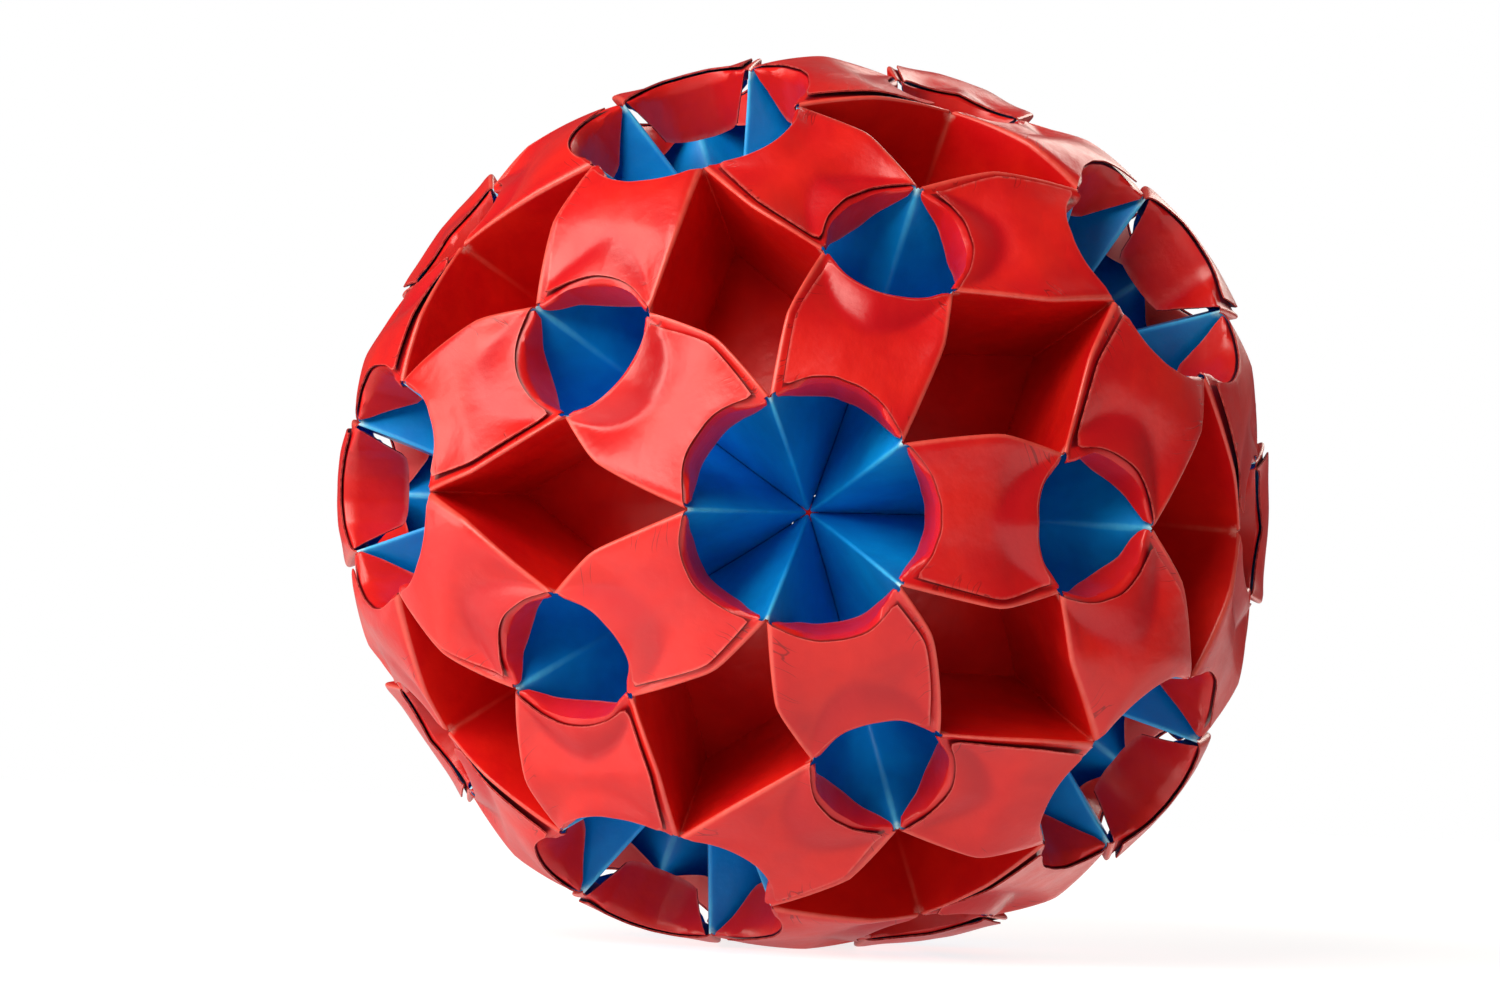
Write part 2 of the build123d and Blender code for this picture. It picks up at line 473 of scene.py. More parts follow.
class SheetMesh:
    """Collects the points, faces and marks of one folded sheet."""

    # crease: rubbed paper with painted highlight along the folds; collar: painted shade in a collar's bend;
    # slit: painted shadow along a cover's edge.
    mark_names = ("crease", "worn", "edge", "slit", "run", "apart", "collar")

    def __init__(self) -> None:
        """Start with no points."""
        self.blocks: list[np.ndarray] = []
        self.marks: dict[str, list[np.ndarray]] = {name: [] for name in self.mark_names}
        self.faces: list[tuple[int, ...]] = []
        self.count = 0

    def add(self, points: np.ndarray, **marks: np.ndarray) -> np.ndarray:
        """Add a block of points.

        Args:
            points: an array of points, of any shape, with the coordinates last.
            marks: arrays of values for the sheet's marks, which are 0 where none is given.

        Returns:
            The points' indices, in the block's shape.
        """
        shape = points.shape[:-1]
        size = int(np.prod(shape))
        self.blocks.append(points.reshape(size, 3))
        for name, kept in self.marks.items():
            value = np.broadcast_to(np.asarray(marks.get(name, 0.0), float), shape)
            kept.append(value.reshape(size))
        indices = np.arange(self.count, self.count + size).reshape(shape)
        self.count += size
        return indices

    def weave(self, grid: np.ndarray, closed: bool = False) -> None:
        """Join a grid of indices with quads.

        Args:
            grid: rows that lead away, with their columns counter-clockwise.
            closed: whether the last column meets the first.
        """
        if closed:
            grid = np.concatenate([grid, grid[:, :1]], axis=1)
        rows, columns = grid.shape
        for row in range(rows - 1):
            for column in range(columns - 1):
                quad = (int(grid[row, column]), int(grid[row + 1, column]),
                        int(grid[row + 1, column + 1]), int(grid[row, column + 1]))
                if len(set(quad)) == 4:
                    self.faces.append(quad)

    def points(self) -> np.ndarray:
        """Give all the points as one array."""
        return np.concatenate(self.blocks)


@dataclass
class FoldedSheet:
    """One sheet of the ball: a cup, its four folds, its four flaps and their lips."""

    seat: Seat
    plan: Plan
    hand: Hand
    ball: BallSizes
    folds: FoldSizes
    counts: MeshCounts
    turned: set[frozenset[int]]

    floor_rings = (0.93, 0.78, 0.56, 0.34, 0.14)
    ripple_weights = (1.0, 0.6, 0.3)
    rim_step = 0.03       # share of the way along a panel from which a lip takes its first heading
    close_row = 0.4       # share of the way from a row to the slit at which the row beside it lies
    lip_edge = 6          # how close to a lip's end its edge begins to fray, more is closer

    # How rubbed the paper is beside a fold, and how much painted highlight it carries there: at a fold's two
    # edges and at the foot of a ridge, from 0 to 1, how quickly that grows up a ridge, and how narrow the
    # rubbed, lighter band is at its foot.
    beside_fold = 0.8
    fold_edge = 0.7
    ridge_foot = 0.35
    ridge_growth = 1.5
    narrow_foot = 0.4

    # Stretches over which something begins and ends, as shares of the way to the neighbouring cup.
    own_corner = (0.0, 0.06, 0.1, 0.24)
    far_corner = (0.76, 0.9, 0.94, 1.0)
    lifted = (0.72, 0.95)
    trimmed = (0.86, 0.97)
    off_fold = (0.04, 0.16)

    # The same, as shares of the wall's height.
    lower_wall = (0.0, 0.6)
    upper_wall = (0.8, 1.0)
    worn_wall = (0.9, 1.0)

    # Where the painted shade in a collar's bend begins and is full, and where it fades again by a share, as
    # shares of the way up it.
    collar_shade_rise = (-0.4, 0.1)
    collar_shade_top = (0.25, 1.0)
    collar_shade_fading = 0.55

    # How far one sheet's run lies from the next, so that their cracks differ.
    run_step = 40.0

    def lay(self, quadrant: Quadrant) -> Lay:
        """Tell how the flap on one side lies: over its neighbour's or under it.

        Args:
            quadrant: the side.

        Returns:
            How it lies. The pairs in turned lie the other way round.
        """
        other = self.plan.partner(self.seat, quadrant)[0]
        turned = frozenset((self.seat.number, other.number)) in self.turned
        return Lay.COVER if self._in_order(quadrant) != turned else Lay.TAB

    def touch(self, quadrant: Quadrant) -> PanelTouch:
        """Tell how the panel on one side came out."""
        return self.hand.panels[self.seat.number, quadrant]

    def mouth_side(self, seat: Seat, quadrant: Quadrant, along: np.ndarray) -> np.ndarray:
        """Follow one side of a cup's mouth, from its five-sided opening to its three-sided one.

        Args:
            seat: the cup.
            quadrant: the side.
            along: shares of the way, as an array of any shape.

        Returns:
            The points on the fold, with the array's shape.
        """
        folds = self.folds
        touch = self.hand.sides[seat.number, quadrant]
        start, end = (seat.corner(opening, quadrant) for opening in OPENINGS)
        run = unit(end - start)
        outwards = unit(start) + unit(end)
        outwards = unit(outwards - (outwards @ run) * run)
        inwards = np.cross(run, outwards)
        if inwards @ (seat.out * np.linalg.norm(start) - start) < 0:
            inwards = -inwards
        curve = 4 * along * (1 - along)
        peak = np.where(along < touch.kink_at, along / touch.kink_at, (1 - along) / (1 - touch.kink_at))
        peak = peak - folds.notch * np.exp(-((along - touch.kink_at) / folds.notch) ** 2)
        bow = touch.bow * ((1 - touch.kink_share) * curve + touch.kink_share * peak)
        arch = touch.arch * ((1 - folds.arch_kink) * curve**folds.arch_round + folds.arch_kink * peak)
        return (start + along[..., None] * (end - start)
                + bow[..., None] * inwards + arch[..., None] * outwards)

    def rims(self, quadrant: Quadrant, over: np.ndarray, lay: Lay) -> list[np.ndarray]:
        """Tell how far a flap's two rims stand back from the lines between the openings' corners.

        Args:
            quadrant: the flap's side.
            over: shares of the way from this cup to its neighbour.
            lay: whether the flap lies on top or underneath.

        Returns:
            The five-sided opening's rim and the three-sided one's, in millimetres.
        """
        touch = self.touch(quadrant)
        own_first = self.seat.number < self.plan.partner(self.seat, quadrant)[0].number
        share = over if own_first else 1 - over
        held = np.sqrt(4 * np.clip(over * (1 - over), 0, 1))
        near_own = hill(over, *self.own_corner)
        near_far = hill(over, *self.far_corner)
        backs = []
        for opening, waves, (own_reveal, far_reveal) in zip(OPENINGS, touch.waves, touch.reveals):
            ripple = sum(weight * wave * np.sin(turns * math.pi * share)
                         for weight, wave, turns in zip(self.ripple_weights, waves, opening.ripple_turns))
            back = opening.rim_arc(over) + opening.ripple * held * ripple
            if lay is Lay.TAB:
                back = back - self.folds.rim_reveal * held - own_reveal * near_own
                back = back - self.folds.far_reveal * far_reveal * near_far
            backs.append(back)
        return backs

    def collars(self, quadrant: Quadrant, along: np.ndarray, over: np.ndarray) -> list[np.ndarray]:
        """Tell how far a panel's points are up its two raised collars.

        Args:
            quadrant: the panel's side.
            along: shares of the way from the five-sided opening to the three-sided one.
            over: shares of the way from this cup to its neighbour.

        Returns:
            The share up each collar, below 0 on the flat of the panel and 1 at the rim.
        """
        touch = self.touch(quadrant)
        start, end = (self.seat.corner(opening, quadrant) for opening in OPENINGS)
        free = np.linalg.norm(start - end) - sum(self.rims(quadrant, over, Lay.COVER))
        foot = self.folds.collar_foot
        shares = []
        for opening, way in zip(OPENINGS, (along, 1 - along)):
            width = touch.collar[opening.end] * (foot + (1 - foot) * touch.hump(opening, over))
            shares.append(1 - way * free / width)
        return shares

    def panel(self, quadrant: Quadrant, along: np.ndarray, over: np.ndarray, lay: Lay) -> np.ndarray:
        """Shape one flap over the gap to the neighbouring cup.

        Args:
            quadrant: the flap's side.
            along: shares of the way from the five-sided opening to the three-sided one.
            over: shares of the way from this cup to its neighbour.
            lay: whether the flap lies on top or underneath.

        Returns:
            The flap's points, with the shape of the two arrays.
        """
        folds = self.folds
        touch = self.touch(quadrant)
        other, far_quadrant = self.plan.partner(self.seat, quadrant)
        own = self.mouth_side(self.seat, quadrant, along)
        far = self.mouth_side(other, far_quadrant, along)
        points = own + over[..., None] * (far - own)

        axes = [self.seat.axis(opening, quadrant) for opening in OPENINGS]
        backs = self.rims(quadrant, over, lay)
        for axis, towards, way, back in zip(axes, axes[::-1], (1 - along, along), backs):
            points = points + (way * back)[..., None] * unit(towards - (towards @ axis) * axis)

        hollow = touch.hump(FIVE, over)
        height = -hollow * ((1 - along) * touch.sink[0] + along * touch.sink[1])
        parted = 0.0
        for opening, near in zip(OPENINGS, self.collars(quadrant, along, over)):
            crest = touch.sink[opening.end] * touch.rise[opening.end]
            spread = 0.5 * (hollow + touch.hump(opening, over))
            height = height + spread * crest * soft_rise(near, folds.collar_softness)
            parted = parted + folds.rim_part * ramp(near, folds.part_from, 1.0)
        level = self.ball.paper / 2 + folds.layer_gap / 2 + parted
        if lay is Lay.COVER:
            level = level + touch.lift * ramp(over, *self.lifted)
        else:
            level = -level
        height = height + level * ramp(over, 0.0, folds.layer_full)
        outwards = unit((1 - along)[..., None] * axes[0] + along[..., None] * axes[1])
        return points + height[..., None] * outwards

    def build(self) -> SheetMesh:
        """Fold the whole sheet.

        Returns:
            The sheet's mesh, in millimetres from the ball's middle.
        """
        mesh = SheetMesh()
        counts = self.counts
        levels = np.linspace(0, 1, counts.wall + 1)
        walls = [self._wall(quadrant, levels) for quadrant in QUADRANTS]
        bend = 1 - np.abs(inner_shares(counts.ridge) * 2 - 1)
        on_ridge = (self.beside_fold + (1 - self.beside_fold) * bend) * self._rubbed_and_highlight(levels)
        rings = []
        creases = []
        for index, quadrant in enumerate(QUADRANTS):
            wall, following = walls[index], walls[(index + 1) % len(walls)]
            ridge = self._ends(quadrant, levels)[1 if self._in_order(quadrant) else 0]
            rings += [wall, rounded(wall[:, -1], ridge, following[:, 0], counts.ridge, axis=1)]
            creases += [self._beside_ridges(quadrant, levels), on_ridge]
        ring = np.concatenate(rings, axis=1)
        crease = np.concatenate(creases, axis=1)
        cup = mesh.add(ring, crease=crease, worn=crease * ramp(levels, *self.worn_wall)[:, None])
        mesh.weave(cup, closed=True)
        self._floor(mesh, ring[0], cup[0])
        self._tips(mesh, ring[0])
        for index, quadrant in enumerate(QUADRANTS):
            columns = slice(index * counts.per_side, index * counts.per_side + counts.side + 1)
            self._flap(mesh, quadrant, cup[-1, columns], ring[-1:, columns])
        return mesh

    def _in_order(self, quadrant: Quadrant) -> bool:
        """Tell whether the ring round the cup runs along a side from its five-sided opening."""
        return quadrant[0] == quadrant[1]

    def _in_ring(self, quadrant: Quadrant, grid: np.ndarray) -> np.ndarray:
        """Turn a side's columns, which begin at its five-sided opening, the way the ring runs, or back."""
        return grid if self._in_order(quadrant) else grid[:, ::-1]

    def _rubbed_and_highlight(self, levels: np.ndarray) -> np.ndarray:
        """Tell how rubbed a ridge is at each height, and with it how much painted highlight it has: most at
        its corner.
        """
        return (self.ridge_foot + (1 - self.ridge_foot) * levels**self.ridge_growth)[:, None]

    def _beside_ridges(self, quadrant: Quadrant, levels: np.ndarray) -> np.ndarray:
        """Mark a wall's rubbed bands beside its two ridges, which are also lightened as painted highlight.

        Args:
            quadrant: the wall's side.
            levels: shares of the wall's height.

        Returns:
            The mark, in the ring's order.
        """
        five, three = self._ends(quadrant, levels)
        along = self._shares(quadrant, levels)
        apart = np.minimum(along, 1 - along) * np.linalg.norm(three - five, axis=1)[:, None]
        band = self.folds.ridge_band * (self.narrow_foot + (1 - self.narrow_foot) * levels[:, None])
        glow = self.beside_fold * np.exp(-(apart / band) ** 2) * self._rubbed_and_highlight(levels)
        return self._in_ring(quadrant, glow)

    def _ends(self, quadrant: Quadrant, levels: np.ndarray) -> list[np.ndarray]:
        """Follow a wall's two ridge lines, before they are rounded.

        Args:
            quadrant: the wall's side.
            levels: shares of the wall's height.

        Returns:
            The points of the five-sided opening's ridge and of the three-sided one's.
        """
        lines = []
        for opening in OPENINGS:
            floor = self.seat.floor(opening, quadrant)
            lines.append(floor + levels[:, None] * (self.seat.corner(opening, quadrant) - floor))
        return lines

    def _shares(self, quadrant: Quadrant, levels: np.ndarray) -> np.ndarray:
        """Spread a side's columns between the roundings at its two ends.

        Args:
            quadrant: the side.
            levels: shares of the wall's height.

        Returns:
            The columns' shares of the way from ridge to ridge, level by level.
        """
        five, three = self._ends(quadrant, levels)
        folds = self.folds
        cut = folds.ridge_cut_low + (folds.ridge_cut - folds.ridge_cut_low) * ramp(levels, *self.lower_wall)
        cut = cut + (folds.ridge_cut_top - folds.ridge_cut) * ramp(levels, *self.upper_wall)
        cut = (cut / np.linalg.norm(three - five, axis=1))[:, None]
        return cut + (1 - 2 * cut) * self.counts.spread()[None, :]

    def _wall(self, quadrant: Quadrant, levels: np.ndarray) -> np.ndarray:
        """Shape one wall of the cup, between its two ridges.

        Args:
            quadrant: the wall's side.
            levels: shares of the wall's height.

        Returns:
            The wall's points, in the ring's order.
        """
        along = self._shares(quadrant, levels)
        high = self.mouth_side(self.seat, quadrant, along)
        along = along[..., None]
        five, three = (self.seat.floor(opening, quadrant) for opening in OPENINGS)
        low = five + along * (three - five)
        five, three = (self.seat.corner(opening, quadrant) for opening in OPENINGS)
        bend = self.folds.fold_cut * unit(high - low)
        straight = (1 - along) * five + along * three - bend
        height = levels[:, None, None]
        points = low + height * (straight - low) + height**self.folds.wall_curve * (high - bend - straight)
        return self._in_ring(quadrant, points)

    def _floor(self, mesh: SheetMesh, rim: np.ndarray, rim_indices: np.ndarray) -> None:
        """Close the cup with its floor, slightly swollen.

        Args:
            mesh: the sheet.
            rim: the points round the floor.
            rim_indices: their indices.
        """
        middle = rim.mean(axis=0)
        last = rim_indices
        for share in self.floor_rings:
            points = middle + (rim - middle) * share
            ring = mesh.add(points + self.seat.out * self.folds.floor_swell * (1 - share**2))
            mesh.weave(np.stack([ring, last]), closed=True)
            last = ring
        mesh.faces.append(tuple(int(index) for index in last))

    def _tips(self, mesh: SheetMesh, rim: np.ndarray) -> None:
        """Tuck the sheet's two red tips in under the small holes at the bottom of its five-sided openings.

        Args:
            mesh: the sheet.
            rim: the points round the cup's floor, side by side.
        """
        counts, folds = self.counts, self.folds
        for index, quadrant in enumerate(QUADRANTS):
            if self._in_order(quadrant):
                continue
            axis = self.seat.axis(FIVE, quadrant)
            inwards = self.seat.inwards(axis)
            first = index * counts.per_side + counts.side + 1 - counts.tip_side
            columns = range(first, first + counts.ridge + 2 * counts.tip_side)
            root = np.take(rim, columns, axis=0, mode="wrap")
            root = root + self.ball.paper * (folds.tip_tuck[0] * inwards - folds.tip_tuck[1] * axis)
            point = (FIVE.core - folds.tip_drop) * axis - folds.tip_past * inwards
            half_way = 0.5 * (root + point) - folds.tip_sag * axis
            end = root * folds.tip_blunt + point * (1 - folds.tip_blunt)
            mesh.weave(mesh.add(np.stack([root, half_way, end])))

    def _flap_shares(self, quadrant: Quadrant, lay: Lay) -> tuple[np.ndarray, np.ndarray, np.ndarray]:
        """Share out a flap's points, with close rows where its neighbour's edge lies.

        Args:
            quadrant: the flap's side.
            lay: whether it lies on top or underneath.

        Returns:
            The shares from the five-sided opening to the three-sided one, the shares from this cup to its
            neighbour, and the millimetres from fold to fold in each column.
        """
        folds = self.folds
        start = self._shares(quadrant, np.array([1.0]))
        other, far_quadrant = self.plan.partner(self.seat, quadrant)
        gap = self.mouth_side(other, far_quadrant, start) - self.mouth_side(self.seat, quadrant, start)
        width = np.linalg.norm(gap, axis=-1)
        slit = folds.slit_inset
        strip = 2 * slit
        before = (1 - self.close_row) * folds.fold_cut + self.close_row * slit
        beyond = (1 - self.close_row) * strip + self.close_row * slit
        near_rows = np.array([folds.fold_cut, before, slit - folds.slit_line, slit + folds.slit_soft,
                              slit + folds.slit_past, beyond, strip])[:, None]
        far_rows = np.linspace(0, 1, self.counts.flap + 1)[1:, None]
        inset = slit if lay is Lay.COVER else folds.tab_inset
        over = np.concatenate([near_rows + 0 * width, strip + far_rows * (width - inset - strip)]) / width
        cut = start[0, 0]
        low_end = cut * (1 - ramp(over, 0.0, folds.widen_by))
        if lay is Lay.COVER:
            low_end = low_end + folds.trim * ramp(over, *self.trimmed) ** 2
        along = low_end + (1 - 2 * low_end) * ((start - cut) / (1 - 2 * cut))
        return along, over, width

    def _flap(self, mesh: SheetMesh, quadrant: Quadrant, top: np.ndarray, top_points: np.ndarray) -> None:
        """Fold one flap out from the wall's top row, and turn its lips down if it is a tab.

        Args:
            mesh: the sheet.
            quadrant: the flap's side.
            top: the indices of the wall's top row, in the ring's order.
            top_points: a grid of one row with its points.
        """
        lay = self.lay(quadrant)
        fold = self.counts.fold
        along, over, width = self._flap_shares(quadrant, lay)
        points = self.panel(quadrant, along, over, lay)
        wall_end = self._in_ring(quadrant, top_points)[0]
        crest = self.mouth_side(self.seat, quadrant, self._shares(quadrant, np.array([1.0]))[0])
        sheet = np.concatenate([rounded(wall_end, crest, points[0], fold, axis=0), points])

        marks = {name: np.zeros(sheet.shape[:-1]) for name in SheetMesh.mark_names}
        apart = over * width
        on_fold = 1 - (1 - self.fold_edge) * np.abs(2 * inner_shares(fold) - 1)
        # The fold's rows and the band beside it are rubbed paper lightened by painted highlight.
        marks["crease"][:fold] = on_fold[:, None]
        marks["crease"][fold:] = self.beside_fold * np.exp(-(apart / self.folds.fold_band) ** 2)
        marks["run"] = np.linalg.norm(sheet - sheet[:, :1], axis=-1) + self.run_step * self.seat.number
        # Painted shade in the concave bend at the foot of the three-sided opening's collar.
        marks["collar"][fold:] = self._collar_painted_shade(self.collars(quadrant, along, over)[THREE.end], over)
        marks["edge"][-1] = 1.0
        if lay is Lay.COVER:
            marks["apart"][fold:] = np.minimum(apart, width - apart)
            marks["edge"][fold:, [0, -1]] = 1.0
        else:
            marks["apart"][fold:] = apart
            # A painted shadow line along the cover's edge, on the tab beneath it.
            marks["slit"][fold:] = self._shadow_under_cover(quadrant, points, over, apart)

        marks = {name: self._in_ring(quadrant, mark) for name, mark in marks.items()}
        grid = mesh.add(self._in_ring(quadrant, sheet), **marks)
        mesh.weave(np.concatenate([top[None, :], grid]))
        if lay is Lay.TAB:
            self._lips(mesh, quadrant, grid[fold:], self._in_ring(quadrant, over))

    def _collar_painted_shade(self, near: np.ndarray, over: np.ndarray) -> np.ndarray:
        """Tell how much painted shade lies on a collar: most in the concave bend at its foot.

        Args:
            near: the share up the collar.
            over: shares of the way from this cup to its neighbour.

        Returns:
            The mark, which fades towards the panel's folds.
        """
        bend = ramp(near, *self.collar_shade_rise) * (1 - self.collar_shade_fading * ramp(near, *self.collar_shade_top))
        return bend * ramp(np.minimum(over, 1 - over), *self.off_fold)

    def _shadow_under_cover(self, quadrant: Quadrant, points: np.ndarray, over: np.ndarray,
                     apart: np.ndarray) -> np.ndarray:
        """Mark the painted shadow along a cover's edge, on the part of a tab that lies under the cover, as
        far as the cover's edge.

        Args:
            quadrant: the tab's side.
            points: its points, with columns from the five-sided opening to the three-sided one.
            over: their shares of the way to the neighbour.
            apart: their distances from the tab's own fold.

        Returns:
            The mark, from 0 in the open to 1 under the cover.
        """
        covers, tabs = (self.rims(quadrant, over, lay) for lay in (Lay.COVER, Lay.TAB))
        past = [np.linalg.norm(points - points[:, [column]], axis=-1) - (cover - tab)
                for column, cover, tab in zip((0, -1), covers, tabs)]
        folds = self.folds
        under = ramp(np.minimum(*past), *folds.slit_ends)
        return under * ramp(apart, folds.slit_inset - folds.slit_line, folds.slit_inset)

    def _lips(self, mesh: SheetMesh, quadrant: Quadrant, rows: np.ndarray, over_rows: np.ndarray) -> None:
        """Turn a tab's two ends down into the openings.

        Args:
            mesh: the sheet.
            quadrant: the tab's side.
            rows: the tab's indices, in the ring's order.
            over_rows: their shares of the way to the neighbour.
        """
        folds = self.folds
        touch = self.touch(quadrant)
        steps = self.counts.lip
        axes = [self.seat.axis(opening, quadrant) for opening in OPENINGS]
        for opening, axis, towards in zip(OPENINGS, axes, axes[::-1]):
            at_start = (opening is FIVE) == self._in_order(quadrant)
            column = 0 if at_start else -1
            over = over_rows[:, column]
            along = np.full_like(over, opening.end)
            spot = self.panel(quadrant, along, over, Lay.TAB)
            leaving = unit(spot - self.panel(quadrant, np.abs(along - self.rim_step), over, Lay.TAB))
            down = unit(-axis - folds.lip_lean * unit(towards - (towards @ axis) * axis))
            end_shape = np.clip(1 - np.abs(2 * over - 1) ** opening.lip_square, 0.0, 1.0) ** opening.lip_round
            from_corner = np.linalg.norm(spot[0] - spot[-1]) * np.minimum(over - over[0], over[-1] - over)
            reach = np.clip(touch.lip[opening.end] * end_shape, folds.lip_least,
                            folds.lip_least + folds.lip_side * from_corner)
            columns = []
            for step in range(steps):
                turn = ramp((step + 0.5) / steps * reach, 0.0, folds.lip_turn)[:, None]
                spot = spot + unit((1 - turn) * leaving + turn * down) * (reach / steps)[:, None]
                columns.append(spot)
            lip = mesh.add(np.stack(columns, axis=1), edge=np.linspace(0, 1, steps) ** self.lip_edge)
            joined = [rows[:, column][:, None], lip]
            if at_start:
                joined = [lip[:, ::-1], rows[:, column][:, None]]
            mesh.weave(np.concatenate(joined, axis=1))


class Sock:
    """One shader value, so that shader maths reads as a sum."""

    def __init__(self, bench: "Bench", socket: bpy.types.NodeSocket) -> None:
        """Wrap a node's output."""
        self.bench = bench
        self.socket = socket

    def _maths(self, operation: str, first: "Sock | float", second: "Sock | float") -> "Sock":
        """Add a Math node."""
        return self.bench.node("ShaderNodeMath", {"operation": operation}, {0: first, 1: second})

    def __add__(self, other: "Sock | float") -> "Sock":
        """Add a value."""
        return self._maths("ADD", self, other)

    __radd__ = __add__

    def __sub__(self, other: "Sock | float") -> "Sock":
        """Take a value away."""
        return self._maths("SUBTRACT", self, other)

    def __rsub__(self, other: "Sock | float") -> "Sock":
        """Take this from a value."""
        return self._maths("SUBTRACT", other, self)

    def __mul__(self, other: "Sock | float") -> "Sock":
        """Multiply by a value."""
        return self._maths("MULTIPLY", self, other)

    __rmul__ = __mul__

    def __abs__(self) -> "Sock":
        """Drop the sign."""
        return self.bench.node("ShaderNodeMath", {"operation": "ABSOLUTE"}, {0: self})

    def mottled(self, least: float, more: float) -> "Sock":
        """Give what is left where this is 0, and what it adds."""
        return least + more * self

    def between(self, low: float, high: float) -> "Sock":
        """Map the stretch from low to high onto 0 to 1, with soft ends."""
        return self.bench.node("ShaderNodeMapRange", {"interpolation_type": "SMOOTHSTEP"},
                               {"Value": self, "From Min": low, "From Max": high})


@dataclass(frozen=True)
class Grain:
    """One pattern of noise: its cells a unit of length, its detail, its roughness and how it is stretched."""

    cells: float
    detail: float
    roughness: float
    stretch: tuple[float, float, float] = (1, 1, 1)


BLOTCH = Grain(95, 3, 0.6)
FIBRE = Grain(2600, 5, 0.7)
STREAK = Grain(900, 4, 0.65, (1.0, 0.28, 0.55))
RUBBING = Grain(1900, 3, 0.6)
CRUMPLE = Grain(210, 4, 0.5)
CRACKED_PATCH = Grain(120, 2, 0.5)
CRACK = Grain(1.0, 1.5, 0.5, (0.42, 0.10, 1.0))
FRAY = Grain(1500, 4, 0.7)


class Bench:
    """Where the nodes of one material, or of the surroundings, are put together."""

    def __init__(self, holder: bpy.types.Material | bpy.types.World) -> None:
        """Start with nothing but the output.

        Args:
            holder: the new material or world.
        """
        self.holder = holder
        holder.use_nodes = True
        self.tree = holder.node_tree
        self.tree.nodes.clear()
        kind = "Material" if isinstance(holder, bpy.types.Material) else "World"
        self.output = self.tree.nodes.new("ShaderNodeOutput" + kind)

    def node(self, kind: str, settings: dict | None = None, inputs: dict | None = None,
             output: int | str = 0) -> Sock:
        """Add one node.

        Args:
            kind: the node's type.
            settings: its own settings, set first.
            inputs: values or sockets for its inputs, by name or number.
            output: which output to give back.

        Returns:
            The chosen output.
        """
        made = self.tree.nodes.new(kind)
        for name, value in (settings or {}).items():
            setattr(made, name, value)
        for name, value in (inputs or {}).items():
            target = made.inputs[name]
            if isinstance(value, Sock):
                self.tree.links.new(value.socket, target)
            else:
                target.default_value = value
        return Sock(self, made.outputs[output])

    def blend(self, share: Sock | float, first: Sock | tuple, second: Sock | tuple) -> Sock:
        """Mix two colours by a share."""
        return self.node("ShaderNodeMix", {"data_type": "RGBA"}, {0: share, 6: first, 7: second}, output=2)

    def noise(self, grain: Grain, place: Sock | None = None) -> Sock:
        """Add noise.

        Args:
            grain: its pattern.
            place: where to read it, or None for the object's own space in metres.

        Returns:
            The noise, from 0 to 1.
        """
        if place is None:
            place = self.node("ShaderNodeTexCoord", output="Object")
        spot = self.node("ShaderNodeVectorMath", {"operation": "MULTIPLY"}, {0: place, 1: grain.stretch})
        return self.node("ShaderNodeTexNoise", {}, {
            "Vector": spot, "Scale": grain.cells, "Detail": grain.detail, "Roughness": grain.roughness})

    def bump(self, height: Sock, strength: float, depth: float, under: Sock | None = None) -> Sock:
        """Add a bump.

        Args:
            height: what it follows.
            strength: how strong it is, from 0 to 1.
            depth: its depth in metres.
            under: another bump that it lies on, if any.

        Returns:
            The bent normal.
        """
        inputs = {"Strength": strength, "Distance": depth, "Height": height}
        if under is not None:
            inputs["Normal"] = under
        return self.node("ShaderNodeBump", {}, inputs)

    def mark(self, name: str) -> Sock:
        """Read one of the sheet's marks."""
        return self.node("ShaderNodeAttribute", {"attribute_name": name}, output="Fac")

    def finish(self, shader: Sock) -> bpy.types.Material | bpy.types.World:
        """Send a shader to the output and give what it is for."""
        self.tree.links.new(shader.socket, self.output.inputs["Surface"])
        return self.holder


